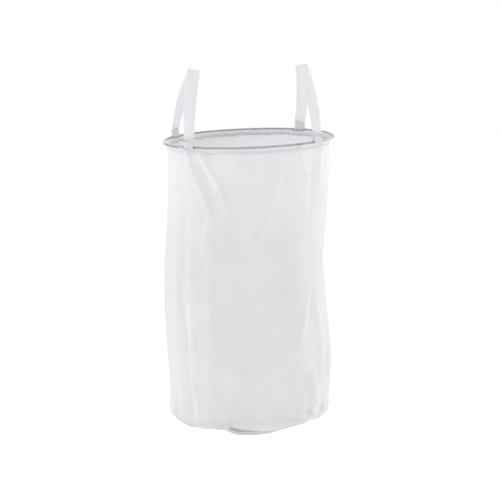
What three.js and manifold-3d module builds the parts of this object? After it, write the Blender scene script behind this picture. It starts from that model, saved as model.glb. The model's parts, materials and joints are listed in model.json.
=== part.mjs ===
// Cloth collection bag of a drum type dust collector: a woven tube with a round sewn base,
// held open at the mouth by a spring wire hoop that carries two webbing loops.
// Millimetres, +Z up. The origin is the centre of the hoop's wire, in the mouth's plane, and
// the bag hangs down from it. +X runs from the left loop to the right loop.

import * as THREE from 'three';
import { mergeVertices } from 'three/addons/utils/BufferGeometryUtils.js';
import Module from 'manifold-3d';

const wasm = await Module();
wasm.setup();

// ---- Driving dimensions -------------------------------------------------------------------

const MOUTH_RADIUS = 175; // centre line of the hoop's wire
const MOUTH_FLARE = 7; // how much wider the hoop is than the side cloth that it stretches
const BAG_RADIUS = MOUTH_RADIUS - MOUTH_FLARE; // outside of the side cloth
const BAG_DEPTH = 583; // from the hoop down to the lowest edge
const MOUTH_LEAN = 0.0355; // rise of the mouth for each mm along +X, as the bag hangs askew

const CLOTH = 1.2; // every cloth wall, thicker than the real weave so that it is a solid
const FIT_GAP = 0.3; // between pieces that are sewn to each other

const WIRE_RADIUS = 2;
const WIRE_GAP = 0.5; // between the wire's two ends where they lap
const LAP_START = 176; // degrees round the hoop
const LAP_TO_STRAP = 15; // from the wire's inner end to the strap's edge beside it
const LAP_RAMP = 8; // degrees in which the inner end steps inwards

const HEM_DEPTH = 12; // from the wire's centre down to the hem's lower edge
const HEM_OVERLAP = 7; // height over which hem and side panel lie on each other
const CASING_CLEAR = 0.5; // between the wire and the casing round it
const BARE_DEPTH = 5; // how far below the wire the casing is cut away at a bare stretch
const BARE_HEIGHT = 12; // how far above the wire the cutting block reaches
const BARE_END_GAP = 4; // bare wire on each side of a strap
const RIGHT_BARE = [-6, 26]; // degrees: a stretch of bare wire at the right end

const SIDE_SEAM_AT = 84; // degrees: the lapped seam that closes the tube, at the back
const SIDE_SEAM_WIDTH = 12;
const SIDE_SEAM_RISE = 1; // how far the seam's second layer stands out

const BAND_HEIGHT = 9; // the bound seam that stands down below the base panel
const TAPE_END_AT = 247; // degrees: where the binding tape's end laps over its start
const TAPE_LAP = 26; // length of that lap
const TAPE_LAP_RISE = 0.8;

const WEB_WIDTH = 25;
const WEB_THICKNESS = 1.5;
const EYE_CLEAR = 0.4; // between the wire and the webbing folded round it
const SWING_CLEAR = 1.1; // between a swung loop's corner and the webbing round the wire
const CORNER_DROP = 0.4; // how far that corner drops, as a share of the webbing's width
const LOOP_RISE = 144; // top of a loop above the wire's centre
const LOOP_LEAN = { left: 14, right: 1 }; // how far each loop's top leans in from its feet
const LOOP_BOW = 6; // how far a leg bows outwards at half its height
const FOLD_RADIUS = 4; // of the sharp fold at a loop's top

// Where each strap end sits on the hoop, in degrees.
const STRAP_AT = {
  left: { front: 221, back: 145 },
  right: { front: -47, back: 43 },
};

// ---- Fineness of the facets ---------------------------------------------------------------

const ROUND_STEPS = 80; // round the bag
const WIRE_SIDES = 8;
const CASING_SIDES = 10;
const EYE_SIDES = 12;
const EYE_STEPS = 4;
const LEG_STEPS = 14;
const FOLD_STEPS = 5;

// ---- Materials ----------------------------------------------------------------------------

const cloth = new THREE.MeshStandardMaterial({ color: 0xebebee, roughness: 0.9, metalness: 0 });
const tape = new THREE.MeshStandardMaterial({ color: 0xdedfe4, roughness: 0.85, metalness: 0 });
const webbing = new THREE.MeshStandardMaterial({ color: 0xe4e4ea, roughness: 0.75, metalness: 0 });
const steel = new THREE.MeshStandardMaterial({ color: 0x8f8f96, roughness: 0.35, metalness: 1 });

// ---- Small helpers ------------------------------------------------------------------------

const radians = THREE.MathUtils.degToRad;
const degrees = THREE.MathUtils.radToDeg;

// A point at an azimuth (degrees), a distance from the axis and a height.
function around(azimuth, radius, height) {
  const angle = radians(azimuth);
  return new THREE.Vector3(radius * Math.cos(angle), radius * Math.sin(angle), height);
}

// The angle that a length covers on a circle, in degrees.
const spanOf = (length, radius) => degrees(length / radius);

const LAP_END = STRAP_AT.left.front - spanOf(WEB_WIDTH / 2 + LAP_TO_STRAP, MOUTH_RADIUS);

// A loop bends this far above the wire's centre.
const EYE_TOP = WIRE_RADIUS + EYE_CLEAR + WEB_THICKNESS;
const LOOP_HINGE_RISE = EYE_TOP + CORNER_DROP * WEB_WIDTH + SWING_CLEAR;

// Revolve a closed outline of [radius, height] points round Z.
function revolve(outline) {
  const points = outline.map(([radius, height]) => new THREE.Vector2(radius, height));
  const geometry = new THREE.LatheGeometry(points, ROUND_STEPS);
  geometry.rotateX(Math.PI / 2);
  return geometry;
}

// A block between two azimuths, two radii and two heights.
function sector(from, to, inner, outer, low, high) {
  const shape = new THREE.Shape();
  shape.absarc(0, 0, outer, radians(from), radians(to), false);
  shape.absarc(0, 0, inner, radians(to), radians(from), true);
  const curveSegments = Math.max(2, Math.ceil((to - from) / (360 / ROUND_STEPS)));
  const geometry = new THREE.ExtrudeGeometry(shape, {
    depth: high - low,
    curveSegments,
    bevelEnabled: false,
  });
  geometry.translate(0, 0, low);
  return geometry;
}

// Keep only the positions of a geometry, with shared corners merged.
function welded(geometry) {
  const bare = geometry.clone();
  bare.deleteAttribute('normal');
  bare.deleteAttribute('uv');
  return mergeVertices(bare, 1e-4);
}

function toSolid(geometry) {
  const shell = welded(geometry);
  const solid = new wasm.Manifold(new wasm.Mesh({
    numProp: 3,
    vertProperties: new Float32Array(shell.attributes.position.array),
    triVerts: new Uint32Array(shell.index.array),
  }));
  return solid.volume() < 0 ? toSolid(flipped(shell)) : solid;
}

// The same surface with its faces turned over.
function flipped(geometry) {
  const turned = geometry.clone();
  turned.setIndex(Array.from(geometry.index.array).reverse());
  return turned;
}

function toGeometry(solid) {
  const mesh = solid.getMesh();
  const geometry = new THREE.BufferGeometry();
  geometry.setAttribute('position', new THREE.BufferAttribute(mesh.vertProperties, 3));
  geometry.setIndex(new THREE.BufferAttribute(mesh.triVerts, 1));
  return geometry;
}

// A closed outline revolved into a solid with its faces pointing out.
const ring = (outline) => toGeometry(toSolid(revolve(outline)));

// The mouth leans: everything at the hoop rises along +X, and the base stays level.
function leanHeight(x, z) {
  const share = THREE.MathUtils.clamp(1 + z / BAG_DEPTH, 0, 1);
  return z + x * MOUTH_LEAN * share;
}

function leaning(geometry) {
  const position = geometry.attributes.position;
  for (let i = 0; i < position.count; i += 1) {
    position.setZ(i, leanHeight(position.getX(i), position.getZ(i)));
  }
  geometry.computeVertexNormals();
  return geometry;
}

function piece(name, geometry, material) {
  geometry.computeVertexNormals();
  const mesh = new THREE.Mesh(geometry, material);
  mesh.name = name;
  return mesh;
}

// ---- Hoop ---------------------------------------------------------------------------------

// The wire runs once round and on past its start, stepping inwards to lie beside itself.
class HoopCurve extends THREE.Curve {
  getPoint(t) {
    const turn = 360 + LAP_END - LAP_START;
    const along = t * turn;
    const step = THREE.MathUtils.smoothstep(along, 360 - LAP_RAMP, 360);
    const inwards = step * (2 * WIRE_RADIUS + WIRE_GAP);
    return around(LAP_START + along, MOUTH_RADIUS - inwards, 0);
  }
}

function circleShape(radius, sides) {
  const corners = [];
  for (let i = 0; i < sides; i += 1) {
    const angle = (i * 2 * Math.PI) / sides;
    corners.push(new THREE.Vector2(radius * Math.cos(angle), radius * Math.sin(angle)));
  }
  return new THREE.Shape(corners);
}

function hoopGeometry() {
  const turns = (360 + LAP_END - LAP_START) / 360;
  return new THREE.ExtrudeGeometry(circleShape(WIRE_RADIUS, WIRE_SIDES), {
    steps: Math.round(ROUND_STEPS * 1.25 * turns),
    extrudePath: new HoopCurve(),
    bevelEnabled: false,
  });
}

// ---- Hem ----------------------------------------------------------------------------------

// The stretches where the casing is cut away and the wire shows, as [from, to] in degrees.
function bareStretches() {
  const half = spanOf(WEB_WIDTH / 2 + BARE_END_GAP, MOUTH_RADIUS);
  const lapMargin = spanOf(BARE_END_GAP, MOUTH_RADIUS);
  const stretches = [
    [LAP_START - LAP_RAMP - lapMargin, LAP_END + lapMargin],
    RIGHT_BARE,
  ];
  for (const ends of Object.values(STRAP_AT)) {
    for (const azimuth of Object.values(ends)) {
      stretches.push([azimuth - half, azimuth + half]);
    }
  }
  return stretches;
}

// Cloth folded over the wire, whose two layers run down and in to the side panel.
function hemGeometry() {
  const wall = WIRE_RADIUS + CASING_CLEAR + CLOTH;
  const tailInner = BAG_RADIUS + FIT_GAP;
  const outline = [];
  const open = 50; // degrees on each side of straight down where the tail leaves the fold
  for (let i = 0; i <= CASING_SIDES; i += 1) {
    const angle = radians(-90 + open + (i * (360 - 2 * open)) / CASING_SIDES);
    outline.push([MOUTH_RADIUS + wall * Math.cos(angle), wall * Math.sin(angle)]);
  }
  outline.push([tailInner, -HEM_DEPTH + HEM_OVERLAP]);
  outline.push([tailInner, -HEM_DEPTH]);
  outline.push([tailInner + 2 * CLOTH, -HEM_DEPTH]);
  outline.push([tailInner + 2 * CLOTH, -HEM_DEPTH + HEM_OVERLAP]);
  outline.push(outline[0]);

  const bore = [];
  for (let i = 0; i <= WIRE_SIDES; i += 1) {
    const angle = (i * 2 * Math.PI) / WIRE_SIDES;
    const radius = WIRE_RADIUS + CASING_CLEAR;
    bore.push([MOUTH_RADIUS + radius * Math.cos(angle), radius * Math.sin(angle)]);
  }

  let hem = toSolid(revolve(outline)).subtract(toSolid(revolve(bore)));
  for (const [from, to] of bareStretches()) {
    const inner = BAG_RADIUS - WEB_WIDTH / 2;
    const outer = MOUTH_RADIUS + wall + FIT_GAP;
    const block = sector(from, to, inner, outer, -BARE_DEPTH, BARE_HEIGHT);
    hem = hem.subtract(toSolid(block));
  }
  return toGeometry(hem);
}

// ---- Side and base ------------------------------------------------------------------------

const BASE_LOW = -BAG_DEPTH;
const SEWN_LOW = BASE_LOW + CLOTH + FIT_GAP; // lowest edge of what the tape wraps
const PANEL_LOW = BASE_LOW + BAND_HEIGHT;
const SIDE_INNER = BAG_RADIUS - CLOTH;
const BASE_RADIUS = SIDE_INNER - FIT_GAP;

function sideGeometry() {
  const high = -HEM_DEPTH + HEM_OVERLAP;
  const tube = revolve([
    [SIDE_INNER, SEWN_LOW],
    [BAG_RADIUS, SEWN_LOW],
    [BAG_RADIUS, high],
    [SIDE_INNER, high],
    [SIDE_INNER, SEWN_LOW],
  ]);
  const half = spanOf(SIDE_SEAM_WIDTH / 2, BAG_RADIUS);
  const lap = sector(
    SIDE_SEAM_AT - half,
    SIDE_SEAM_AT + half,
    SIDE_INNER + CLOTH / 2,
    BAG_RADIUS + SIDE_SEAM_RISE,
    PANEL_LOW + FIT_GAP,
    -HEM_DEPTH - FIT_GAP,
  );
  return toGeometry(toSolid(tube).add(toSolid(lap)));
}

// A round sheet whose rim turns down, to lie against the side panel's lower edge.
function baseGeometry() {
  return ring([
    [0, PANEL_LOW],
    [BASE_RADIUS - CLOTH, PANEL_LOW],
    [BASE_RADIUS - CLOTH, SEWN_LOW],
    [BASE_RADIUS, SEWN_LOW],
    [BASE_RADIUS, PANEL_LOW + CLOTH],
    [0, PANEL_LOW + CLOTH],
  ]);
}

// Tape folded round the two lower edges from below, its end lapped over its start.
function bindingGeometry() {
  const innerWall = BASE_RADIUS - CLOTH - FIT_GAP;
  const outerWall = BAG_RADIUS + FIT_GAP;
  const tapeRing = revolve([
    [innerWall - CLOTH, BASE_LOW],
    [outerWall + CLOTH, BASE_LOW],
    [outerWall + CLOTH, PANEL_LOW],
    [outerWall, PANEL_LOW],
    [outerWall, BASE_LOW + CLOTH],
    [innerWall, BASE_LOW + CLOTH],
    [innerWall, PANEL_LOW - FIT_GAP],
    [innerWall - CLOTH, PANEL_LOW - FIT_GAP],
    [innerWall - CLOTH, BASE_LOW],
  ]);
  const lap = sector(
    TAPE_END_AT - spanOf(TAPE_LAP, BAG_RADIUS),
    TAPE_END_AT,
    outerWall + CLOTH / 2,
    outerWall + CLOTH + TAPE_LAP_RISE,
    BASE_LOW,
    PANEL_LOW,
  );
  return toGeometry(toSolid(tapeRing).add(toSolid(lap)));
}

// ---- Straps -------------------------------------------------------------------------------

class WireArc extends THREE.Curve {
  constructor(azimuth, length) {
    super();
    this.from = azimuth - spanOf(length / 2, MOUTH_RADIUS);
    this.span = spanOf(length, MOUTH_RADIUS);
  }

  getPoint(t) {
    return around(this.from + t * this.span, MOUTH_RADIUS, 0);
  }
}

// A strap's end, folded round the wire as a short sleeve.
function eyeGeometry(azimuth) {
  const inner = WIRE_RADIUS + EYE_CLEAR;
  const section = circleShape(EYE_TOP, EYE_SIDES);
  section.holes.push(circleShape(inner, EYE_SIDES));
  return new THREE.ExtrudeGeometry(section, {
    steps: EYE_STEPS,
    extrudePath: new WireArc(azimuth, WEB_WIDTH),
    bevelEnabled: false,
  });
}

// Sweep a flat band through stations of {at, across}, where across is the width's direction.
function bandGeometry(stations, width, thickness) {
  const vertices = [];
  const last = stations.length - 1;
  stations.forEach(({ at, across }, i) => {
    const before = stations[Math.max(i - 1, 0)].at;
    const after = stations[Math.min(i + 1, last)].at;
    const along = after.clone().sub(before).normalize();
    const side = across.clone().addScaledVector(along, -across.dot(along)).normalize();
    const face = along.clone().cross(side);
    for (const [u, v] of [[-1, -1], [1, -1], [1, 1], [-1, 1]]) {
      const corner = at.clone();
      corner.addScaledVector(side, (u * width) / 2);
      corner.addScaledVector(face, (v * thickness) / 2);
      vertices.push(...corner.toArray());
    }
  });
  const index = [0, 2, 1, 0, 3, 2];
  for (let i = 0; i < last; i += 1) {
    for (let k = 0; k < 4; k += 1) {
      const a = 4 * i + k;
      const b = 4 * i + ((k + 1) % 4);
      index.push(a, b, b + 4, a, b + 4, a + 4);
    }
  }
  const end = 4 * last;
  index.push(end, end + 1, end + 2, end, end + 2, end + 3);
  const geometry = new THREE.BufferGeometry();
  geometry.setAttribute('position', new THREE.Float32BufferAttribute(vertices, 3));
  geometry.setIndex(index);
  return geometry;
}

// One leg, from its foot above the wire up to the fold. The webbing lies along the wire at its
// foot and turns to lie along X at the top.
function legStations(azimuth, top, topAcross) {
  const foot = around(azimuth, MOUTH_RADIUS, LOOP_HINGE_RISE);
  const tangent = new THREE.Vector3(-foot.y, foot.x, 0).normalize();
  if (tangent.x < 0) {
    tangent.negate();
  }
  const outward = new THREE.Vector3(foot.x, foot.y, 0).normalize();
  const stations = [];
  for (let i = 0; i <= LEG_STEPS; i += 1) {
    const share = i / LEG_STEPS;
    const at = foot.clone().lerp(top, share);
    at.addScaledVector(outward, LOOP_BOW * Math.sin(Math.PI * share));
    const turned = THREE.MathUtils.smoothstep(share, 0, 1);
    stations.push({ at, across: tangent.clone().lerp(topAcross, turned).normalize() });
  }
  return stations;
}

// A whole loop: up the front leg, over the fold and down the back leg.
function loopGeometry(side) {
  const sign = side === 'left' ? -1 : 1;
  const { front, back } = STRAP_AT[side];
  const frontFoot = around(front, MOUTH_RADIUS, 0);
  const backFoot = around(back, MOUTH_RADIUS, 0);
  const middle = -frontFoot.y / (backFoot.y - frontFoot.y);
  const topX = frontFoot.lerp(backFoot, middle).x - sign * LOOP_LEAN[side];
  const lean = Math.atan2(LOOP_LEAN[side], LOOP_RISE - LOOP_HINGE_RISE);
  const topAcross = new THREE.Vector3(Math.cos(lean), 0, sign * Math.sin(lean));
  const foldCentre = new THREE.Vector3(topX, 0, LOOP_RISE - FOLD_RADIUS);
  const foldStart = foldCentre.clone().add(new THREE.Vector3(0, -FOLD_RADIUS, 0));
  const foldEnd = foldCentre.clone().add(new THREE.Vector3(0, FOLD_RADIUS, 0));
  const fold = [];
  for (let i = 1; i < FOLD_STEPS; i += 1) {
    const angle = Math.PI - (i * Math.PI) / FOLD_STEPS;
    const offset = new THREE.Vector3(0, Math.cos(angle), Math.sin(angle));
    fold.push({ at: foldCentre.clone().addScaledVector(offset, FOLD_RADIUS), across: topAcross });
  }
  const up = legStations(front, foldStart, topAcross);
  const down = legStations(back, foldEnd, topAcross).reverse();
  return bandGeometry([...up, ...fold, ...down], WEB_WIDTH, WEB_THICKNESS);
}

// ---- Assembly -----------------------------------------------------------------------------

const bag = new THREE.Group();

const mouth = new THREE.Group();
mouth.add(piece('wire_hoop', leaning(hoopGeometry()), steel));
mouth.add(piece('mouth_hem', leaning(hemGeometry()), cloth));
for (const [side, ends] of Object.entries(STRAP_AT)) {
  for (const [end, azimuth] of Object.entries(ends)) {
    const eye = leaning(eyeGeometry(azimuth));
    mouth.add(piece(`${side}_strap_${end}_end`, eye, webbing));
  }
  mouth.add(piece(`${side}_strap_loop`, leaning(loopGeometry(side)), webbing));
}
bag.add(mouth);

const body = new THREE.Group();
body.add(piece('side_panel', leaning(sideGeometry()), cloth));
body.add(piece('base_panel', baseGeometry(), cloth));
body.add(piece('base_binding', bindingGeometry(), tape));
bag.add(body);

export default bag;
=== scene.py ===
"""Dust collector filter bag: the looks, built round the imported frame. Metres, +Z up."""
import json
import math

import bmesh
import bpy
import numpy as np
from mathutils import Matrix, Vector, noise


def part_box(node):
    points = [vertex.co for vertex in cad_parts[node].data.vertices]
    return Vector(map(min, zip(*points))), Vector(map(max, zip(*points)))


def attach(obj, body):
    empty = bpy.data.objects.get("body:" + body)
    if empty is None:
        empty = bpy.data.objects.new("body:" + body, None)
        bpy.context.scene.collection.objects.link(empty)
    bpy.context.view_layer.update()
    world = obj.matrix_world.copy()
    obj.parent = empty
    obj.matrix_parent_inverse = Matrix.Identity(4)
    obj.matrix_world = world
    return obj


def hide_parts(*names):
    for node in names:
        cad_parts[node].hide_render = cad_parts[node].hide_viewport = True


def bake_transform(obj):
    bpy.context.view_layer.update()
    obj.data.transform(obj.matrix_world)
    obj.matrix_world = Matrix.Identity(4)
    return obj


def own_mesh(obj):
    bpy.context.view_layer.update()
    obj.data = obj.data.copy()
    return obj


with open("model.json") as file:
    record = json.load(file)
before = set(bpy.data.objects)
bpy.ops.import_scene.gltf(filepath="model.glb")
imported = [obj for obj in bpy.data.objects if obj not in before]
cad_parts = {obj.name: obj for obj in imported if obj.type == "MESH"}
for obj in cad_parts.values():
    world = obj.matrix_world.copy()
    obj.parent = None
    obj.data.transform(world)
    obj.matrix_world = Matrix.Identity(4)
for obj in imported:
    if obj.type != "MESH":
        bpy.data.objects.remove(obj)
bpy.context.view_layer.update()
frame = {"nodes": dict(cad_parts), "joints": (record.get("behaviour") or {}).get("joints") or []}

# ---- Places and sizes read from the frame ---------------------------------------------------

WIRE_RADIUS = 0.002
HOOP_LOW, HOOP_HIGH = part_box("wire_hoop")
HOOP_RADIUS = (HOOP_HIGH.x - HOOP_LOW.x) / 2 - WIRE_RADIUS
MOUTH_LEAN = (HOOP_HIGH.z - HOOP_LOW.z - 2 * WIRE_RADIUS) / (2 * HOOP_RADIUS)
SIDE_LOW, SIDE_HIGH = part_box("side_panel")
BAG_RADIUS = (SIDE_HIGH.x - SIDE_LOW.x) / 2
BASE_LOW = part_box("base_binding")[0].z
BAG_DEPTH = -BASE_LOW
JOINTS = {joint["name"]: joint for joint in frame["joints"]}
HINGE_AT = JOINTS["left_loop_swing"]["pos_m"]
HINGE_RISE = HINGE_AT[2] - HINGE_AT[0] * MOUTH_LEAN

# ---- Sizes that only the looks need ---------------------------------------------------------

CLOTH = 0.0005  # thickness of the cloth and the tape
HEM_DEPTH = 0.012  # from the wire's centre line to the hem's lower edge
HEM_OVERLAP = 0.007  # how far the side cloth reaches up into the hem
HEM_FLAP = 0.0182  # length of cloth from the hem's lower edge over to its crown
BARE_END_GAP = 0.004  # bare wire beside a strap's end
LAP_START, LAP_END, LAP_RAMP = 176.0, 212.0, 8.0  # azimuths of the wire's two ends
RIGHT_BARE = (-6.0, 26.0)  # azimuths of the bare wire at the right
BAND_HEIGHT = 0.009  # height of the binding tape
TAPE_STEP_AT = 248.0  # azimuth where the tape's end is lapped over its start
WEB_WIDTH = 0.025
WEB = 0.0013  # thickness of the webbing
LEG_BOW = 0.006  # how far a loop's leg bows outwards
TAIL_TOP = 0.02  # share of a leg that the sewn-back end covers

SIDE_TOP = -HEM_DEPTH + HEM_OVERLAP
FOOT_TOP = BASE_LOW + 0.034  # below this the side cloth moves with the base
SIDE_COLUMNS, SIDE_ROWS = 320, 130
HEM_COLUMNS, HEM_HALF_ROWS = 720, 14

CLOTH_FRAMES = 16  # length of the cloth simulation
CLOTH_GROWTH = 0.003  # share by which the simulated cloth is too large for its space
WRINKLE_WAVES = (5, 28)  # waves round the bag that a simulated wrinkle may have
WRINKLE_MOST = 0.004  # the furthest that a simulated wrinkle moves the cloth

CAMERA_DISTANCE = 2.4256
CAMERA_RISE = 0.259
CAMERA_PITCH = 11.5385
CAMERA_YAW = 7.6  # place of the camera round the bag
CAMERA_AIM = 7.67  # direction in which it looks
FOCAL = 84.7224  # millimetres, on a sensor 36 mm wide
FLOOR_BELOW = 0.45  # the bag hangs free, so that its base casts no sharp shadow


def polar(azimuth, radius, height):
    """A point round the bag's axis, the azimuth in degrees."""
    angle = math.radians(azimuth)
    return np.array([radius * math.cos(angle), radius * math.sin(angle), height])


def span(length, radius=HOOP_RADIUS):
    """The angle in degrees that a length covers on a circle."""
    return math.degrees(length / radius)


def smooth(x, low=0.0, high=1.0):
    """0 below low, 1 above high, and an even ramp between them."""
    t = np.clip((x - low) / (high - low), 0.0, 1.0)
    return t * t * (3 - 2 * t)


def hump(x, centre, width):
    """A smooth bump of height 1."""
    return np.exp(-(((x - centre) / width) ** 2))


def turned(azimuths, centre):
    """How far azimuths lie from centre, in degrees from -180 to 180."""
    return (azimuths - centre + 180.0) % 360.0 - 180.0


def leaned(points):
    """The mouth leans: points rise along +X, fully at the hoop and not at the base."""
    out = np.array(points, float)
    share = np.clip(1 + out[..., 2] / BAG_DEPTH, 0, 1)
    out[..., 2] += out[..., 0] * MOUTH_LEAN * share
    return out


def foot_azimuth(node):
    """Where a strap's end sits on the hoop, in degrees."""
    low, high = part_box(node)
    return math.degrees(math.atan2(low.y + high.y, low.x + high.x))


STRAP_AT = {
    side: {end: foot_azimuth(f"{side}_strap_{end}_end") for end in ("front", "back")}
    for side in ("left", "right")
}


# ---- Mesh helpers ---------------------------------------------------------------------------


def mesh_object(name, vertices, faces, uvs=None):
    """A new smooth-shaded object; uvs holds one (u, v) per vertex, in metres."""
    mesh = bpy.data.meshes.new(name)
    mesh.from_pydata([tuple(v) for v in vertices], [], faces)
    if uvs is not None:
        layer = mesh.uv_layers.new(name="weave")
        corners = np.zeros(len(mesh.loops), np.int32)
        mesh.loops.foreach_get("vertex_index", corners)
        layer.data.foreach_set("uv", np.asarray(uvs, np.float32)[corners].ravel())
    mesh.polygons.foreach_set("use_smooth", [True] * len(mesh.polygons))
    mesh.update()
    obj = bpy.data.objects.new(name, mesh)
    bpy.context.scene.collection.objects.link(obj)
    return obj


def close_weave(obj, length):
    """Let the weave run on where a tube's last column meets its first; all faces have 4 sides."""
    layer = obj.data.uv_layers["weave"]
    uvs = np.zeros(len(obj.data.loops) * 2, np.float32)
    layer.data.foreach_get("uv", uvs)
    uvs = uvs.reshape(-1, 4, 2)
    crosses = np.ptp(uvs[..., 0], axis=1) > length / 2
    behind = crosses[:, None] & (uvs[..., 0] < length / 2)
    uvs[..., 0] += length * behind
    layer.data.foreach_set("uv", uvs.ravel())


def grid_faces(rows, columns, round_rows=False, round_columns=False, first=0):
    """Quads between neighbouring points of a grid stored row by row."""
    faces = []
    for i in range(rows if round_rows else rows - 1):
        for j in range(columns if round_columns else columns - 1):
            k, n = (i + 1) % rows, (j + 1) % columns
            corners = (i * columns + j, i * columns + n, k * columns + n, k * columns + j)
            faces.append(tuple(first + c for c in corners))
    return faces


def tube(name, path, radius, sides=12):
    """A round rod along a list of points, with domed ends."""
    path = np.asarray(path, float)
    along = np.gradient(path, axis=0)
    along /= np.linalg.norm(along, axis=1)[:, None]
    up = np.array([0.0, 0.0, 1.0])
    rings, radii = [], []
    dome = [math.radians(a) for a in (80, 50, 22)]
    for a in dome:
        rings.append((path[0] - along[0] * radius * math.sin(a), along[0]))
        radii.append(radius * math.cos(a))
    for p, t in zip(path, along):
        rings.append((p, t))
        radii.append(radius)
    for a in reversed(dome):
        rings.append((path[-1] + along[-1] * radius * math.sin(a), along[-1]))
        radii.append(radius * math.cos(a))
    vertices = []
    for (p, t), r in zip(rings, radii):
        side = np.cross(t, up)
        side /= np.linalg.norm(side)
        lift = np.cross(side, t)
        for k in range(sides):
            a = 2 * math.pi * k / sides
            vertices.append(p + r * (math.cos(a) * side + math.sin(a) * lift))
    faces = grid_faces(len(rings), sides, round_columns=True)
    faces.append(tuple(range(sides)))
    faces.append(tuple(reversed(range((len(rings) - 1) * sides, len(rings) * sides))))
    return mesh_object(name, vertices, faces)


def fix_normals(obj):
    """Turn every face outwards."""
    work = bmesh.new()
    work.from_mesh(obj.data)
    bmesh.ops.recalc_face_normals(work, faces=work.faces)
    work.to_mesh(obj.data)
    work.free()


def thicken(obj, thickness):
    """Give a sheet its thickness, half to each side, in the mesh itself."""
    modifier = obj.modifiers.new("thickness", "SOLIDIFY")
    modifier.thickness = thickness
    modifier.offset = 0.0
    keep_result(obj)


def keep_result(obj):
    """Replace a mesh by what its modifiers make of it, at the current frame."""
    graph = bpy.context.evaluated_depsgraph_get()
    made = bpy.data.meshes.new_from_object(obj.evaluated_get(graph), depsgraph=graph)
    obj.modifiers.clear()
    obj.data = made


def stitches(name, places, length=0.0028, radius=0.00032):
    """Thread: one short rounded bead per stitch, from (point, along, up) places."""
    profile = [(-0.5, 0.25), (-0.32, 0.85), (0.0, 1.0), (0.32, 0.85), (0.5, 0.25)]
    sides = 6
    vertices, faces = [], []
    for point, along, up in places:
        first = len(vertices)
        along = along / np.linalg.norm(along)
        side = np.cross(along, up)
        side /= np.linalg.norm(side)
        lift = np.cross(side, along)
        for place, share in profile:
            for k in range(sides):
                a = 2 * math.pi * k / sides
                offset = math.cos(a) * side + math.sin(a) * lift
                vertices.append(point + along * place * length + offset * radius * share)
        faces += grid_faces(len(profile), sides, round_columns=True, first=first)
        faces.append(tuple(first + k for k in range(sides)))
        last = first + (len(profile) - 1) * sides
        faces.append(tuple(last + k for k in reversed(range(sides))))
    obj = mesh_object(name, vertices, faces)
    fix_normals(obj)
    return obj


# ---- Materials ------------------------------------------------------------------------------


class Shader:
    """A small helper to write node trees in order."""

    def __init__(self, name):
        self.material = bpy.data.materials.new(name)
        self.material.use_nodes = True
        self.tree = self.material.node_tree
        self.tree.nodes.clear()
        self.output = self.node("ShaderNodeOutputMaterial")

    def node(self, kind, **settings):
        made = self.tree.nodes.new(kind)
        for key, value in settings.items():
            setattr(made, key, value)
        return made

    def link(self, source, target):
        self.tree.links.new(source, target)

    def scaled(self, coordinates, scale):
        mapping = self.node("ShaderNodeMapping")
        mapping.inputs["Scale"].default_value = scale
        self.link(coordinates, mapping.inputs["Vector"])
        return mapping.outputs["Vector"]

    def noise(self, coordinates, scale, detail=3.0, roughness=0.5):
        made = self.node("ShaderNodeTexNoise")
        made.inputs["Scale"].default_value = scale
        made.inputs["Detail"].default_value = detail
        made.inputs["Roughness"].default_value = roughness
        self.link(coordinates, made.inputs["Vector"])
        return made.outputs["Fac"]

    def wave(self, coordinates, direction, pitch, distortion=0.0):
        """Bands with the given pitch, in the coordinates' own unit."""
        made = self.node("ShaderNodeTexWave", bands_direction=direction)
        made.inputs["Scale"].default_value = 2 * math.pi / (20 * pitch)
        made.inputs["Distortion"].default_value = distortion
        self.link(coordinates, made.inputs["Vector"])
        return made.outputs["Fac"]

    def math(self, operation, a, b):
        made = self.node("ShaderNodeMath", operation=operation)
        for socket, value in zip(made.inputs, (a, b)):
            if isinstance(value, (int, float)):
                socket.default_value = value
            else:
                self.link(value, socket)
        return made.outputs[0]

    def ramp(self, factor, low, high, from_low=0.3, from_high=0.7):
        """Spread a factor over two colours or grey values."""
        made = self.node("ShaderNodeValToRGB")
        for element, place, value in zip(
            made.color_ramp.elements, (from_low, from_high), (low, high)
        ):
            element.position = place
            element.color = (*(value if hasattr(value, "__len__") else [value] * 3), 1)
        self.link(factor, made.inputs["Fac"])
        return made.outputs["Color"]

    def bump(self, height, distance, strength=1.0, normal=None):
        made = self.node("ShaderNodeBump")
        made.inputs["Strength"].default_value = strength
        made.inputs["Distance"].default_value = distance
        self.link(height, made.inputs["Height"])
        if normal is not None:
            self.link(normal, made.inputs["Normal"])
        return made.outputs["Normal"]

    def principled(self, **values):
        made = self.node("ShaderNodeBsdfPrincipled")
        for key, value in values.items():
            made.inputs[key].default_value = value
        return made


def plain_weave(shader, coordinates, pitch):
    """Height of a plain weave: warp and weft yarns crossing, a little uneven."""
    warp = shader.wave(coordinates, "X", pitch, 0.6)
    weft = shader.wave(coordinates, "Y", pitch, 0.6)
    crossing = shader.math("MULTIPLY", warp, weft)
    return shader.math("ADD", crossing, shader.math("MAXIMUM", warp, weft))


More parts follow.
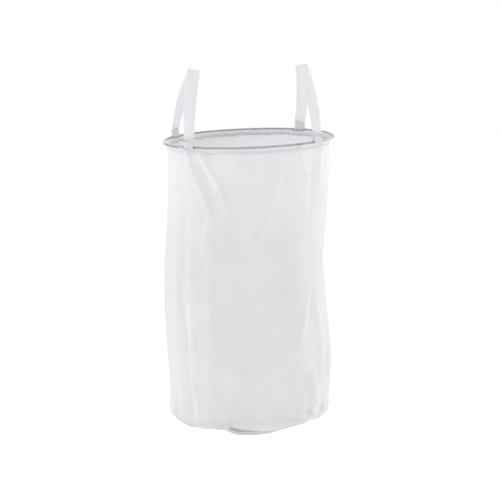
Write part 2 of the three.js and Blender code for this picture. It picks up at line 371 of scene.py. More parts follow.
def fabric_material(name, low, high, pitch, bump, see_light, sheer=0.0):
    """Woven cloth that lets part of the light through, and is sheer along a casing's crown."""
    shader = Shader(name)
    uv = shader.node("ShaderNodeUVMap", uv_map="weave").outputs["UV"]
    place = shader.node("ShaderNodeTexCoord").outputs["Object"]
    clouds = shader.noise(place, 14.0, 4.0)
    yarns = shader.noise(shader.scaled(uv, (1400.0, 90.0, 1.0)), 1.0, 2.0)
    picks = shader.noise(shader.scaled(uv, (90.0, 1400.0, 1.0)), 1.0, 2.0)
    uneven = shader.math("MULTIPLY", clouds, 0.5)
    streaks = shader.math("MULTIPLY", shader.math("ADD", yarns, picks), 0.25)
    colour = shader.ramp(shader.math("ADD", uneven, streaks), low, high, 0.35, 0.65)
    weave = plain_weave(shader, uv, pitch)
    height = shader.math("ADD", weave, shader.math("MULTIPLY", streaks, 1.5))
    normal = shader.bump(height, bump)
    cloth = shader.principled(**{"Specular IOR Level": 0.25, "Sheen Weight": 0.12})
    cloth.inputs["Sheen Roughness"].default_value = 0.5
    shader.link(colour, cloth.inputs["Base Color"])
    shader.link(shader.ramp(clouds, 0.72, 0.9), cloth.inputs["Roughness"])
    shader.link(normal, cloth.inputs["Normal"])
    through = shader.node("ShaderNodeBsdfTranslucent")
    shader.link(colour, through.inputs["Color"])
    shader.link(normal, through.inputs["Normal"])
    mix = shader.node("ShaderNodeMixShader")
    mix.inputs["Fac"].default_value = see_light
    shader.link(cloth.outputs[0], mix.inputs[1])
    shader.link(through.outputs[0], mix.inputs[2])
    if sheer:
        mix = stretched_sheer(shader, uv, mix, sheer)
    shader.link(mix.outputs[0], shader.output.inputs["Surface"])
    return shader.material


def stretched_sheer(shader, uv, surface, sheer):
    """Where the cloth is stretched over the wire its weave opens, so the wire shows."""
    parts = shader.node("ShaderNodeSeparateXYZ")
    shader.link(uv, parts.inputs[0])
    share = shader.math("DIVIDE", parts.outputs["Y"], HEM_FLAP)
    clear = shader.node("ShaderNodeBsdfTransparent")
    mix = shader.node("ShaderNodeMixShader")
    shader.link(shader.ramp(share, 0.0, sheer, 0.64, 0.72), mix.inputs["Fac"])
    shader.link(surface.outputs[0], mix.inputs[1])
    shader.link(clear.outputs[0], mix.inputs[2])
    return mix


def webbing_material():
    """Flat woven strap: ribs across it in a herringbone, and cords along it."""
    shader = Shader("webbing_weave")
    uv = shader.node("ShaderNodeUVMap", uv_map="weave").outputs["UV"]
    chevron = shader.node("ShaderNodeMapping")
    chevron.inputs["Rotation"].default_value = (0, 0, math.radians(32))
    shader.link(uv, chevron.inputs["Vector"])
    ribs = shader.wave(chevron.outputs["Vector"], "Y", 0.0021, 0.4)
    cords = shader.wave(uv, "X", 0.0016, 0.3)
    fibres = shader.noise(shader.scaled(uv, (2600.0, 260.0, 1.0)), 1.0, 2.0)
    height = shader.math("ADD", shader.math("ADD", ribs, cords), fibres)
    colour = shader.ramp(height, (0.80, 0.80, 0.83), (0.92, 0.92, 0.935), 0.3, 1.0)
    strap = shader.principled(**{"Specular IOR Level": 0.35, "Sheen Weight": 0.1})
    shader.link(colour, strap.inputs["Base Color"])
    shader.link(shader.ramp(fibres, 0.5, 0.72), strap.inputs["Roughness"])
    shader.link(shader.bump(height, 0.00025), strap.inputs["Normal"])
    through = shader.node("ShaderNodeBsdfTranslucent")
    shader.link(colour, through.inputs["Color"])
    mix = shader.node("ShaderNodeMixShader")
    mix.inputs["Fac"].default_value = 0.5
    shader.link(strap.outputs[0], mix.inputs[1])
    shader.link(through.outputs[0], mix.inputs[2])
    shader.link(mix.outputs[0], shader.output.inputs["Surface"])
    return shader.material


def steel_material():
    """Drawn spring wire: grey, with fine drawing marks and a few dull patches."""
    shader = Shader("spring_steel")
    place = shader.node("ShaderNodeTexCoord").outputs["Object"]
    marks = shader.noise(place, 900.0, 3.0)
    patches = shader.noise(place, 60.0, 3.0)
    steel = shader.principled(Metallic=1.0)
    colour = shader.ramp(patches, (0.26, 0.26, 0.28), (0.42, 0.42, 0.44))
    shader.link(colour, steel.inputs["Base Color"])
    shader.link(shader.ramp(patches, 0.28, 0.5), steel.inputs["Roughness"])
    shader.link(shader.bump(marks, 0.0001, 0.4), steel.inputs["Normal"])
    shader.link(steel.outputs[0], shader.output.inputs["Surface"])
    return shader.material


def thread_material():
    """Polyester sewing thread with a twist."""
    shader = Shader("thread")
    place = shader.node("ShaderNodeTexCoord").outputs["Object"]
    twist = shader.noise(place, 1500.0, 2.0)
    thread = shader.principled(**{"Specular IOR Level": 0.3})
    colour = shader.ramp(twist, (0.72, 0.72, 0.74), (0.88, 0.88, 0.89))
    shader.link(colour, thread.inputs["Base Color"])
    shader.link(shader.ramp(twist, 0.55, 0.75), thread.inputs["Roughness"])
    shader.link(thread.outputs[0], shader.output.inputs["Surface"])
    return shader.material


def dress(obj, material):
    """Give a piece its one material."""
    obj.data.materials.clear()
    obj.data.materials.append(material)


# ---- Side cloth -----------------------------------------------------------------------------

# How much of the binding tape shows below the side cloth: (azimuth, share).
TAPE_SHOWS = [(246, 0.0), (250, 1.0), (272, 1.0), (281, 0.6), (311, 0.45), (318, 0.0)]

# How far the base seam is drawn up above its lowest stretch: (azimuth, millimetres).
SEAM_RISE = [
    (0, 5.0), (40, 2.0), (90, 2.0), (140, 1.5), (180, 3.5), (196, 4.0), (206, 0.8), (216, -0.4),
    (226, 3.2), (236, 6.4), (245, 8.0), (249, 3.4), (253, -0.6), (257, -2.0), (270, -2.0),
    (277, -0.4), (284, 3.2), (292, 6.2), (304, 6.0), (313, 6.4), (319, 8.4), (330, 8.8),
    (345, 6.5), (360, 5.0),
]


def seam_height(azimuths):
    """How far the base seam is drawn up, in metres, round the bag."""
    places, rises = zip(*SEAM_RISE)
    return np.interp(np.mod(azimuths, 360.0), places, rises) / 1000


def seam_at(azimuth):
    """seam_height at one azimuth."""
    return float(seam_height(np.array([azimuth]))[0])


# Soft folds: the route of each as (azimuth, share of the depth), its width in degrees and its
# height in metres, negative for a hollow.
DRAPE_FOLDS = [
    # from the hem, at the front
    ([(217, -0.02), (222, 0.07), (231, 0.16), (237, 0.23), (233, 0.33)], 2.6, 0.0062),
    ([(226, -0.02), (233, 0.05), (240, 0.10), (248, 0.19)], 2.4, 0.0060),
    ([(228, 0.03), (236, 0.14)], 2.6, -0.0030),
    ([(246, 0.10), (238, 0.17)], 3.0, -0.0030),
    ([(287, 0.01), (283, 0.10), (279, 0.19), (272, 0.30)], 2.8, 0.0058),
    ([(290, 0.02), (286, 0.20)], 3.0, -0.0025),
    ([(297, -0.02), (301, 0.06), (307, 0.11)], 2.5, 0.0055),
    ([(311, 0.06), (312, 0.22)], 4.0, -0.0050),
    ([(320, -0.02), (320, 0.12)], 3.0, 0.0035),
    ([(259, 0.20), (262, 0.26)], 3.0, 0.0022),
    # middle and lower part, at the front
    ([(238, 0.30), (237, 0.52), (237, 0.70), (234, 0.77), (226, 0.81), (220, 0.84)], 3.4, 0.0045),
    ([(221, 0.83), (224, 0.90), (222, 0.98)], 3.0, 0.0045),
    ([(214, 0.60), (216, 0.84)], 3.0, -0.0035),
    ([(227, 0.62), (226, 0.74)], 2.6, -0.0025),
    ([(216, 0.86), (217, 0.98)], 2.6, -0.0035),
    ([(263, 0.30), (262, 0.98)], 17.0, -0.0050),
    ([(312, 0.50), (304, 0.60), (297, 0.68), (299, 0.74), (305, 0.78), (311, 0.83), (314, 0.90)],
     3.4, 0.0055),
    ([(296, 0.74), (302, 0.80), (306, 0.88)], 3.0, -0.0045),
    ([(318, 0.58), (322, 0.92)], 5.0, 0.0045),
    ([(330, 0.40), (336, 0.60)], 4.0, -0.0050),
    ([(304, 0.22), (300, 0.48)], 5.0, 0.0025),
    # back
    ([(30, 0.00), (38, 0.15), (52, 0.40)], 4.5, 0.0055),
    ([(120, 0.00), (104, 0.22)], 4.0, 0.0055),
    ([(84, 0.05), (80, 0.45)], 5.0, -0.0035),
    ([(140, 0.45), (150, 0.97)], 5.0, 0.0055),
    ([(75, 0.50), (60, 0.98)], 5.0, 0.0055),
    ([(10, 0.60), (18, 0.98)], 5.0, -0.0045),
]


def drape(azimuths, depth):
    """Radial height of the drape folds at each point."""
    out = np.zeros_like(azimuths)
    for route, width, height in DRAPE_FOLDS:
        turns, shares = zip(*route)
        centre = np.interp(depth, shares, turns)
        fade = smooth(depth, shares[0] - 0.04, shares[0] + 0.02)
        fade = fade * (1 - smooth(depth, shares[-1] - 0.02, shares[-1] + 0.06))
        aside = turned(azimuths, centre)
        out += height * fade * (0.85 * hump(aside, 0, width) + 0.4 * hump(aside, 0, 2.8 * width))
    return out


def crumple(azimuths, height):
    """Shallow uneven wrinkles all over the wall, longer than they are wide."""
    out = np.zeros_like(azimuths)
    for i, j in np.ndindex(azimuths.shape):
        angle = math.radians(azimuths[i, j])
        place = Vector((math.cos(angle) * 3.4, math.sin(angle) * 3.4, height[i, j] * 9.0))
        slant = Vector((place.x + place.z * 0.5, place.y, place.z + place.x * 0.8))
        out[i, j] = noise.noise(place) * 0.0022 + noise.noise(slant * 2.3) * 0.0011
    return out


def gathers(azimuths, height, foot_height):
    """Small pleats above the base seam and below the hem."""
    waves = np.sin(np.radians(azimuths * 23)) + 0.7 * np.sin(np.radians(azimuths * 37 + 60))
    right = 1.3 * hump(turned(azimuths, 312), 0, 22)
    left = 0.9 * hump(turned(azimuths, 198), 0, 18)
    back = 0.5 * hump(turned(azimuths, 90), 0, 60)
    above = np.clip(height - foot_height, 0, 1)
    low = smooth(above, 0.009, 0.018) * np.exp(-above / 0.030)
    out = 0.0046 * waves * low * (0.22 + right + left + back)
    top = np.exp(-np.clip(SIDE_TOP - height, 0, 1) / 0.02)
    puckers = np.sin(np.radians(azimuths * 27 + 25)) + 0.8 * np.sin(np.radians(azimuths * 44))
    return out + 0.0008 * puckers * top


def side_shape():
    """The draped tube before it is simulated, as a grid of points."""
    rows = np.linspace(0, 1, SIDE_ROWS)[:, None]
    azimuths = np.linspace(0, 360, SIDE_COLUMNS, endpoint=False)[None, :]
    azimuths, depth = np.broadcast_arrays(azimuths, rows)
    shows = np.interp(azimuths, *zip(*TAPE_SHOWS))
    inside = smooth(shows, 0.55, 0.95)
    over = 1 - smooth(shows, 0.0, 0.3)
    foot = BASE_LOW + seam_height(azimuths) + BAND_HEIGHT * 0.3 * inside
    foot = foot + BAND_HEIGHT * shows * (1 - inside) - 0.0012 * over
    height = SIDE_TOP + (foot - SIDE_TOP) * np.minimum(depth / 0.985, 1)
    bulge = 0.0062 * hump(depth, 0.72, 0.18) - 0.0015 * hump(depth, 0.35, 0.2)
    near_tape = smooth(depth, 0.95, 0.975)
    over_tape = (0.0026 * (1 - inside) - 0.0028 * inside) * near_tape
    over_tape = over_tape - 0.0050 * over * smooth(depth, 0.985, 1)
    free = smooth(-depth, -0.97, -0.93)
    radius = BAG_RADIUS - 0.0006 + over_tape + bulge + drape(azimuths, depth) * free
    radius = radius + gathers(azimuths, height, foot)
    radius = radius + crumple(azimuths, height) * smooth(depth, 0, 0.03) * free
    angle = np.radians(azimuths)
    sway = -0.0078 * hump(depth, 0.45, 0.2) + 0.0035 * hump(depth, 0.84, 0.14)
    x = radius * np.cos(angle) + sway
    y = radius * np.sin(angle) - 0.003 * hump(depth, 0.6, 0.25)
    return leaned(np.stack([x, y, height], axis=-1))


def simulate(obj, pinned):
    """Let the cloth settle between its pinned edges, a little larger than its space."""
    group = obj.vertex_groups.new(name="pinned")
    group.add(pinned, 1.0, "REPLACE")
    modifier = obj.modifiers.new("cloth", "CLOTH")
    settings = modifier.settings
    settings.quality = 6
    settings.mass = 0.12
    settings.tension_stiffness = 25
    settings.compression_stiffness = 25
    settings.shear_stiffness = 12
    settings.bending_stiffness = 4
    settings.air_damping = 3
    settings.vertex_group_mass = "pinned"
    settings.shrink_min = -CLOTH_GROWTH
    modifier.collision_settings.use_collision = False
    modifier.point_cache.frame_start = 1
    modifier.point_cache.frame_end = CLOTH_FRAMES
    for step in range(1, CLOTH_FRAMES + 1):
        bpy.context.scene.frame_set(step)
    keep_result(obj)
    bpy.context.scene.frame_set(1)


def keep_wrinkles(obj, start):
    """Keep what the simulation wrinkled, without its overall change of the bag's shape."""
    now = np.zeros(len(obj.data.vertices) * 3)
    obj.data.vertices.foreach_get("co", now)
    move = now.reshape(start.shape) - start
    waves = np.fft.rfft(move, axis=1)
    waves[:, :WRINKLE_WAVES[0]] = 0
    waves[:, WRINKLE_WAVES[1]:] = 0
    move = np.fft.irfft(waves, n=start.shape[1], axis=1)
    length = np.linalg.norm(move, axis=-1, keepdims=True)
    move *= np.tanh(length / WRINKLE_MOST) * WRINKLE_MOST / (length + 1e-12)
    obj.data.vertices.foreach_set("co", (start + move).ravel())
    obj.data.update()


def cut_level(obj, level, keep_above):
    """Keep only what lies above the level, or only what lies below it."""
    mesh = bmesh.new()
    mesh.from_mesh(obj.data)
    bmesh.ops.bisect_plane(mesh, geom=mesh.verts[:] + mesh.edges[:] + mesh.faces[:], dist=1e-6,
                           plane_co=(0, 0, level), plane_no=(0, 0, 1),
                           clear_inner=keep_above, clear_outer=not keep_above)
    mesh.to_mesh(obj.data)
    mesh.free()


def side_cloth(material):
    """The bag's wall, and the foot of the same cloth, which moves with the base."""
    start = side_shape()
    points = start.reshape(-1, 3)
    columns = SIDE_COLUMNS
    faces = grid_faces(SIDE_ROWS, columns, round_columns=True)
    around = 2 * math.pi * BAG_RADIUS / columns
    uvs = [(j * around, points[i * columns + j][2])
           for i in range(SIDE_ROWS) for j in range(columns)]
    obj = mesh_object("side_cloth", points, faces, uvs)
    close_weave(obj, around * columns)
    pinned_rows = (0, 1, SIDE_ROWS - 2, SIDE_ROWS - 1)
    simulate(obj, [row * columns + j for row in pinned_rows for j in range(columns)])
    keep_wrinkles(obj, start)
    fix_normals(obj)
    foot = obj.copy()
    foot.data = obj.data.copy()
    foot.name = "side_foot"
    bpy.context.scene.collection.objects.link(foot)
    for piece, above in ((obj, True), (foot, False)):
        cut_level(piece, FOOT_TOP, above)
        thicken(piece, CLOTH)
        # without sharp rims the cut would show as a line
        piece.data.set_sharp_from_angle(angle=math.radians(60))
        dress(piece, material)
    return obj, foot


# ---- Hem ------------------------------------------------------------------------------------

def bare_stretches():
    """(from, to) azimuths where the casing is cut away and the wire shows."""
    half = span(WEB_WIDTH / 2 + BARE_END_GAP)
    margin = span(BARE_END_GAP)
    stretches = [(LAP_START - LAP_RAMP - margin, LAP_END + margin), RIGHT_BARE]
    for ends in STRAP_AT.values():
        stretches += [(a - half, a + half) for a in ends.values()]
    return stretches


def bareness(azimuths):
    """1 inside a bare stretch, 0 outside, with a rounded corner between."""
    out = np.zeros_like(azimuths)
    for low, high in bare_stretches():
        inside = (high - low) / 2 - np.abs(turned(azimuths, (low + high) / 2))
        out = np.maximum(out, smooth(inside, -0.2, 1.0))
    return out


def hem_profile(share, side):
    """(radius, height) on one flap, from its lower edge at 0 to the crown at 1.

    side is 1 for the flap outside the bag and -1 for the one inside.
    """
    tail = BAG_RADIUS + side * 0.0011
    wrap = WIRE_RADIUS + 0.0007
    table = np.array([
        (0.00, tail, -HEM_DEPTH),
        (0.22, tail + side * 0.0003, -HEM_DEPTH + 0.003),
        (0.42, tail + side * 0.0007 + 0.0012, -HEM_DEPTH + 0.0062),
        (0.60, HOOP_RADIUS + side * wrap * 0.86 - 0.0006, -0.0022),
        (0.78, HOOP_RADIUS + side * wrap, 0.0003),
        (0.90, HOOP_RADIUS + side * wrap * 0.7, wrap * 0.72),
        (1.00, HOOP_RADIUS, wrap),
    ])
    radius = np.interp(share, table[:, 0], table[:, 1])
    height = np.interp(share, table[:, 0], table[:, 2])
    return radius, height


def hem_flap(side, azimuths, bare):
    """One flap of the casing as a grid of points, crown row last."""
    rows = np.linspace(0, 1, HEM_HALF_ROWS)[:, None]
    share = rows * (1 - bare * 0.45)[None, :]
    radius, height = hem_profile(share, side)
    ripple = np.sin(np.radians(azimuths * 41)) + 0.8 * np.sin(np.radians(azimuths * 67 + 30))
    slow = np.sin(np.radians(azimuths * 13 + 80))
    loose = hump(share, 0.25, 0.3) * (0.00035 * ripple + 0.0003 * slow)[None, :]
    radius = radius + loose + side * 0.0006 * bare[None, :] * share
    edge = (0.0006 * slow + 0.0004 * ripple)[None, :] * (1 - share)
    angle = np.radians(azimuths)[None, :]
    grid = np.stack(
        [radius * np.cos(angle), radius * np.sin(angle), height + edge], axis=-1
    )
    return leaned(grid)


def mouth_casing(material):
    """Cloth folded over the wire, open where the straps and the wire's lap come out."""
    azimuths = np.linspace(0, 360, HEM_COLUMNS, endpoint=False)
    bare = bareness(azimuths)
    outer = hem_flap(1, azimuths, bare)
    inner = hem_flap(-1, azimuths, bare)
    whole = bare <= 0
    vertices = list(outer.reshape(-1, 3))
    inner_index = {}
    for i in range(HEM_HALF_ROWS):
        for j in range(HEM_COLUMNS):
            if i == HEM_HALF_ROWS - 1 and whole[j]:
                inner_index[i, j] = i * HEM_COLUMNS + j
            else:
                inner_index[i, j] = len(vertices)
                vertices.append(inner[i, j])
    faces = grid_faces(HEM_HALF_ROWS, HEM_COLUMNS, round_columns=True)
    for i in range(HEM_HALF_ROWS - 1):
        for j in range(HEM_COLUMNS):
            n = (j + 1) % HEM_COLUMNS
            corners = [(i, j), (i + 1, j), (i + 1, n), (i, n)]
            faces.append(tuple(inner_index[c] for c in corners))
    step = 2 * math.pi * BAG_RADIUS / HEM_COLUMNS
    uvs = np.zeros((len(vertices), 2))
    for i in range(HEM_HALF_ROWS):
        for j in range(HEM_COLUMNS):
            run = i / (HEM_HALF_ROWS - 1) * HEM_FLAP * (1 - 0.4 * bare[j])
            uvs[i * HEM_COLUMNS + j] = (j * step, run)
            uvs[inner_index[i, j]] = (j * step, run)
    obj = mesh_object("mouth_casing", vertices, faces, uvs)
    thicken(obj, CLOTH)
    dress(obj, material)
    return obj


def hem_stitching(material):
    """One row of thread along the hem's lower edge, outside."""
    count = 300
    azimuths = np.linspace(0, 360, count, endpoint=False)
    flap = hem_flap(1, azimuths, np.zeros(count))
    row = int(np.argmin(np.abs(np.linspace(0, 1, HEM_HALF_ROWS) - 0.15)))
    places = []
    for j in range(count):
        point = flap[row, j]
        out = np.array([point[0], point[1], 0.0])
        out /= np.linalg.norm(out)
        along = np.array([-out[1], out[0], 0.0])
        places.append((point + out * 0.00042, along, out))
    obj = stitches("hem_stitching", places, 0.0026, 0.00028)
    dress(obj, material)
    return obj


# ---- Hoop -----------------------------------------------------------------------------------


def spring_wire(material):
    """The open wire ring, whose ends lap beside each other."""
    turn = 360 + LAP_END - LAP_START
    path = []
    for along in np.linspace(0, turn, 560):
        step = float(smooth(along, 360 - LAP_RAMP, 360)) * (2 * WIRE_RADIUS + 0.0005)
        path.append(polar(LAP_START + along, HOOP_RADIUS - step, 0))
    obj = tube("spring_wire", leaned(path), WIRE_RADIUS * 0.97, 14)
    fix_normals(obj)
    dress(obj, material)
    return obj


# ---- Straps ---------------------------------------------------------------------------------


def loop_top(side):
    """The middle of a loop's top edge, from its CAD solid."""
    mesh = frame["nodes"][f"{side}_strap_loop"].data
    points = np.array([v.co for v in mesh.vertices])
    crest = points[np.abs(points[:, 1]) < 0.001]
    return crest.mean(axis=0)


def leg(side, end):
    """A leg of a loop: its centre line and its width's direction as functions of the share from
    foot (0) to top (1), and the directions out of the bag and along the hoop at its foot."""
    azimuth = STRAP_AT[side][end]
    foot = leaned([polar(azimuth, HOOP_RADIUS, HINGE_RISE)])[0]
    top = loop_top(side) + np.array([0, (-1 if end == "front" else 1) * 0.0028, -0.001])
    out = polar(azimuth, 1, 0)
    tangent = np.array([-out[1], out[0], 0.0])
    if tangent[0] < 0:
        tangent = -tangent
    sign = -1 if side == "left" else 1
    other = STRAP_AT[side]["back" if end == "front" else "front"]
    other_foot = leaned([polar(other, HOOP_RADIUS, 0)])[0]
    aside = 0.5 * (foot[0] + other_foot[0]) - top[0]
    lean = math.atan2(sign * aside, top[2] - foot[2])
    crest = np.array([math.cos(lean), 0.0, sign * math.sin(lean)])

    def at(share):
        return foot + (top - foot) * share + out * LEG_BOW * math.sin(math.pi * share)

    def across(share):
        mixed = tangent + (crest - tangent) * float(smooth(share))
        return mixed / np.linalg.norm(mixed)

    return at, across, out, tangent


def band_section():
    """The webbing's cross-section: (across, through) points with full rounded edges."""
    half, thick = WEB_WIDTH / 2, WEB / 2
    points = [(-half + 0.0006, -thick), (-half / 2, -thick * 0.92), (0, -thick * 0.95)]
    points += [(half / 2, -thick * 0.92), (half - 0.0006, -thick), (half, -thick * 0.4)]
    points += [(half, thick * 0.4)]
    points += [(-x, -y) for x, y in points[:5]]
    points += [(-half, thick * 0.4), (-half, -thick * 0.4)]
    return points


def sweep_band(name, stations):
    """A closed webbing band through stations of (point, across)."""
    points = np.array([p for p, _ in stations])
    along = np.gradient(points, axis=0)
    along /= np.linalg.norm(along, axis=1)[:, None]
    travelled = np.r_[0, np.cumsum(np.linalg.norm(np.diff(points, axis=0), axis=1))]
    section = band_section()
    vertices, uvs = [], []
    for (p, w), t, run in zip(stations, along, travelled):
        w = w - t * float(w @ t)
        w /= np.linalg.norm(w)
        face = np.cross(t, w)
        for a, b in section:
            vertices.append(p + w * a + face * b)
            uvs.append((a, run))
    size = len(section)
    faces = grid_faces(len(stations), size, round_columns=True)
    faces.append(tuple(range(size)))
    faces.append(tuple(reversed(range((len(stations) - 1) * size, len(stations) * size))))
    obj = mesh_object(name, vertices, faces, uvs)
    fix_normals(obj)
    return obj


def foot_stations(side, end):
    """From the sewn-back end outside, down round the wire and up inside to the leg's foot."""
    at, across, out, tangent = leg(side, end)
    azimuth = STRAP_AT[side][end]
    centre = leaned([polar(azimuth, HOOP_RADIUS, 0)])[0]
    up = np.array([0.0, 0.0, 1.0])
    wrap = WIRE_RADIUS + 0.0002 + WEB / 2
    stations = []
    for share in np.linspace(TAIL_TOP, 0.0, 8):
        stations.append((at(share) + out * WEB * 1.04, across(share)))
    stations.append((centre + out * 0.0021 + up * 0.0085, tangent))
    stations.append((centre + out * 0.0027 + up * 0.0042, tangent))
    for angle in np.radians(np.linspace(0, -180, 11)):
        offset = out * math.cos(angle) + up * math.sin(angle)
        stations.append((centre + offset * wrap, tangent))
    stations.append((centre - out * 0.0023 + up * 0.0045, tangent))
    stations.append((centre - out * 0.0009 + up * 0.0095, tangent))
    return stations


def strap(side, material):
    """One webbing strap: sewn end, up the front leg, over the fold and down the back leg."""
    legs = {}
    for end in ("front", "back"):
        at, across, _, _ = leg(side, end)
        shares = np.linspace(0, 0.985, 60)
        legs[end] = foot_stations(side, end) + [(at(s), across(s)) for s in shares]
    top = loop_top(side)
    _, across, _, _ = leg(side, "front")
    crest = across(1.0)
    fold = []
    for angle in np.radians(np.linspace(150, 30, 7)):
        offset = np.array([0, math.cos(angle) * 0.003, math.sin(angle) * 0.003 - 0.0012])
        fold.append((top + offset, crest))
    stations = legs["front"] + fold + legs["back"][::-1]
    obj = sweep_band(f"{side}_strap", stations)
    dress(obj, material)
    return obj


def strap_stitching(side, end, material):
    """The box of stitches that holds a strap's sewn-back end."""
    at, across, out, _ = leg(side, end)
    half = WEB_WIDTH / 2 - 0.0035
    low, high = -0.045, TAIL_TOP - 0.01
    places = []

    def place(share, side_way):
        return at(share) + across(share) * side_way + out * (WEB * 1.54 + 0.0001)

    for first, last, count in (
        ((low, -half), (low, half), 6),
        ((high, -half), (high, half), 6),
        ((low, -half), (high, -half), 4),
        ((low, half), (high, half), 4),
        ((low, -half), (high, half), 7),
        ((low, half), (high, -half), 7),
    ):
        along = place(*last) - place(*first)
        for k in range(count):
            t = (k + 0.5) / count
            share = first[0] + (last[0] - first[0]) * t
            side_way = first[1] + (last[1] - first[1]) * t
            places.append((place(share, side_way), along, out))
    obj = stitches(f"{side}_{end}_stitching", places, 0.0023, 0.0003)
    dress(obj, material)
    return obj


# ---- Base -----------------------------------------------------------------------------------

BASE_RIM = BAG_RADIUS - 0.0022
BASE_LEVEL = BASE_LOW + BAND_HEIGHT * 0.75
BASE_SAG = 0.0035
TAPE_RADIUS = BAG_RADIUS - 0.0014  # radius of the seam inside the tape
TAPE_HALF_GAP = 0.0006  # from the middle of that seam to the tape
TAPE_BEND = 0.0012  # radius of the tape's bend below the seam
TAPE_BEND_SHARE = 0.22  # share of the tape's width in that bend
TAPE_LAP = 9.0  # degrees that the tape's end laps over its start


def base_point(azimuth, share):
    """A point on the base cloth, share running from its middle (0) to its rim (1)."""
    angle = math.radians(azimuth)
    place = Vector((share * math.cos(angle) * 2.4, share * math.sin(angle) * 2.4, 3.7))
    drawn = seam_at(azimuth) * share**4
    sag = -BASE_SAG * (1 - share**2)
    rumple = 0.0022 * noise.noise(place) + 0.0010 * noise.noise(place * 2.7)
    radial = 0.0011 * math.sin(math.radians(azimuth * 17)) * float(smooth(share, 0.72, 0.98))
    return polar(azimuth, BASE_RIM * share, BASE_LEVEL + drawn + sag + rumple + radial)


def base_cloth(material):
    """The round base: a disc of cloth, slack enough to belly a little, its rim turned down."""
    rings, columns = 46, 192
    azimuths = [360 * j / columns for j in range(columns)]
    vertices = [(0, 0, BASE_LEVEL - BASE_SAG)]
    for i in range(1, rings + 1):
        vertices += [base_point(azimuth, i / rings) for azimuth in azimuths]
    uvs = [(v[0], v[1]) for v in vertices]
    for azimuth in azimuths:
        point = polar(azimuth, BASE_RIM, BASE_LOW + BAND_HEIGHT * 0.2 + seam_at(azimuth))
        vertices.append(point)
        uvs.append((point[0] * 1.04, point[1] * 1.04))
    faces = [(0, 1 + j, 1 + (j + 1) % columns) for j in range(columns)]
    faces += grid_faces(rings + 1, columns, round_columns=True, first=1)
    obj = mesh_object("base_cloth", vertices, faces, uvs)
    fix_normals(obj)
    thicken(obj, CLOTH)
    dress(obj, material)
    return obj


def tape_point(azimuth, across, lift=0.0):
    """A point on the binding tape: across runs from its inner edge (-1) to its outer (1).

    The middle of the tape bends round the seam's lower edge, and both sides climb from there.
    """
    from_step = turned(np.array([azimuth]), TAPE_STEP_AT)
    loose = float(smooth(-from_step, -1.0, 3.0)[0]) * float(smooth(from_step, -120.0, -60.0)[0])
    bend = math.copysign(min(abs(across) / TAPE_BEND_SHARE, 1), across) * math.pi / 2
    climb = max(abs(across) - TAPE_BEND_SHARE, 0) / (1 - TAPE_BEND_SHARE)
    reach = TAPE_HALF_GAP + lift + TAPE_BEND - 0.0006 * climb
    radius = TAPE_RADIUS + reach * math.sin(bend)
    ripple = 0.0004 * math.sin(math.radians(azimuth * 37)) * climb
    flare = (0.0010 * loose - 0.0012 * (1 - loose)) * (1 - climb)
    low = BASE_LOW + 0.0003 + seam_at(azimuth)
    height = low + TAPE_BEND * (1 - math.cos(bend)) - lift
    height += climb * (BAND_HEIGHT * 0.95 - TAPE_BEND)
    return polar(azimuth, radius + ripple + flare, height)


def base_tape(material):
    """Binding tape folded round the base seam, its cut end lapped over its start."""
    columns, across = 560, 23
    grid = []
    for k in range(columns):
        azimuth = TAPE_STEP_AT - 359 + k / (columns - 1) * (360 + TAPE_LAP)
        over = float(smooth(np.array(azimuth), TAPE_STEP_AT - 3, TAPE_STEP_AT + 1))
        for m in range(across):
            grid.append(tape_point(azimuth, -1 + 2 * m / (across - 1), 0.0009 * over))
    uvs = [(m * 0.0009, k * 0.0019) for k in range(columns) for m in range(across)]
    obj = mesh_object("base_tape", grid, grid_faces(columns, across), uvs)
    fix_normals(obj)
    thicken(obj, CLOTH)
    dress(obj, material)
    return obj


def tape_stitching(material):
    """One row of thread near the tape's upper edge, outside."""
    count = 290
    places = []
    for k in range(count):
        azimuth = 360 * k / count
        point = tape_point(azimuth, 0.8)
        out = polar(azimuth, 1, 0)
        along = np.array([-out[1], out[0], 0.0])
        places.append((point + out * 0.0005, along, out))
    obj = stitches("tape_stitching", places, 0.0026, 0.00028)
    dress(obj, material)
    return obj


# ---- Stage ----------------------------------------------------------------------------------


def camera():
    """The view from a little above the mouth, slightly left of the front."""
    data = bpy.data.cameras.new("camera")
    data.sensor_width = 36
    data.lens = FOCAL
    obj = bpy.data.objects.new("camera", data)
    obj.location = polar(-90 - CAMERA_YAW, CAMERA_DISTANCE, CAMERA_RISE)
    obj.rotation_euler = (math.radians(90 - CAMERA_PITCH), 0, math.radians(-CAMERA_AIM))
    bpy.context.scene.collection.objects.link(obj)
    bpy.context.scene.camera = obj


def area_light(name, location, target, size, power):
    """A white soft box that faces target."""
    data = bpy.data.lights.new(name, "AREA")
    data.shape = "RECTANGLE"
    data.size, data.size_y = size
    data.energy = power
    obj = bpy.data.objects.new(name, data)
    obj.location = location
    direction = Vector(target) - Vector(location)
    obj.rotation_euler = direction.to_track_quat("-Z", "Y").to_euler()
    bpy.context.scene.collection.objects.link(obj)


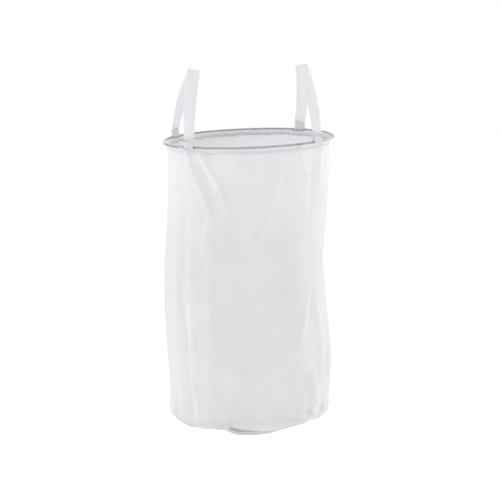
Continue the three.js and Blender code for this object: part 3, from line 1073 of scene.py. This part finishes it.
def stage():
    """White floor and surround, and soft boxes at both sides, behind and above."""
    level = BASE_LOW - FLOOR_BELOW
    corners = [(-9, -9, level), (9, -9, level), (9, 9, level), (-9, 9, level)]
    floor = mesh_object("floor", corners, [(0, 1, 2, 3)])
    shader = Shader("floor")
    white = shader.principled(Roughness=0.9)
    white.inputs["Base Color"].default_value = (0.9, 0.9, 0.9, 1)
    white.inputs["Emission Color"].default_value = (1, 1, 1, 1)
    white.inputs["Emission Strength"].default_value = 0.2
    shader.link(white.outputs[0], shader.output.inputs["Surface"])
    floor.data.materials.append(shader.material)
    world = bpy.data.worlds.new("world")
    world.use_nodes = True
    background = world.node_tree.nodes["Background"]
    background.inputs["Color"].default_value = (1, 1, 1, 1)
    background.inputs["Strength"].default_value = 1.0
    bpy.context.scene.world = world
    middle = (0, 0, -0.28)
    area_light("left_box", (-1.8, 0.7, 0.1), middle, (1.2, 1.8), 9.5)
    area_light("right_box", (1.8, 0.8, 0.1), middle, (1.2, 1.8), 14)
    area_light("back_box", (0.2, 2.2, 0.6), middle, (2.4, 1.6), 17)
    area_light("top_box", (0.0, 0.2, 2.2), middle, (1.6, 1.6), 2)
    bpy.context.scene.view_settings.view_transform = "Standard"


# ---- Assembly -------------------------------------------------------------------------------


def build():
    """Make every piece, put most of them on their bodies and hide the CAD nodes that they stand
    in for.
    """
    camera()
    stage()
    cloth = fabric_material(
        "filter_cloth", (0.88, 0.88, 0.89), (0.925, 0.925, 0.93), 0.0011, 0.00012, 0.42
    )
    # The hem's colour is darker than the wall's: painted shade for the shade under the wire. The
    # smaller share of light let through stands for the doubled cloth.
    hem = fabric_material(
        "hem_cloth_painted_shade", (0.74, 0.74, 0.78), (0.85, 0.85, 0.865), 0.0011, 0.00012, 0.15,
        sheer=0.9,
    )
    # The tape's colour is darker than the cloth's: painted shade for the shade that the cloth
    # above casts on it.
    tape = fabric_material(
        "binding_tape_painted_shade", (0.70, 0.70, 0.715), (0.82, 0.82, 0.83), 0.0009, 0.00014, 0.3
    )
    webbing, steel, thread = webbing_material(), steel_material(), thread_material()

    wall, foot = side_cloth(cloth)
    casing = mouth_casing(hem)
    casing_thread = hem_stitching(thread)
    wire = spring_wire(steel)
    base = base_cloth(cloth)
    binding = base_tape(tape)
    binding_thread = tape_stitching(thread)

    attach(wall, "mouth")
    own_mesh(wall)
    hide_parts("side_panel")
    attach(foot, "base")
    for obj, body, node in (
        (casing, "mouth", "mouth_hem"),
        (wire, "mouth", "wire_hoop"),
        (base, "base", "base_panel"),
        (binding, "base", "base_binding"),
    ):
        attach(obj, body)
        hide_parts(node)
    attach(casing_thread, "mouth")
    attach(binding_thread, "base")

    for side in ("left", "right"):
        band = strap(side, webbing)
        middle = leaned([polar(STRAP_AT[side]["front"], HOOP_RADIUS, 0)])[0]
        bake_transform(band)
        nodes = [f"{side}_strap_{end}_end" for end in ("front", "back")]
        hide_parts(f"{side}_strap_loop", *nodes)
        for end in ("front", "back"):
            thread_box = strap_stitching(side, end, thread)
            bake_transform(thread_box)


build()
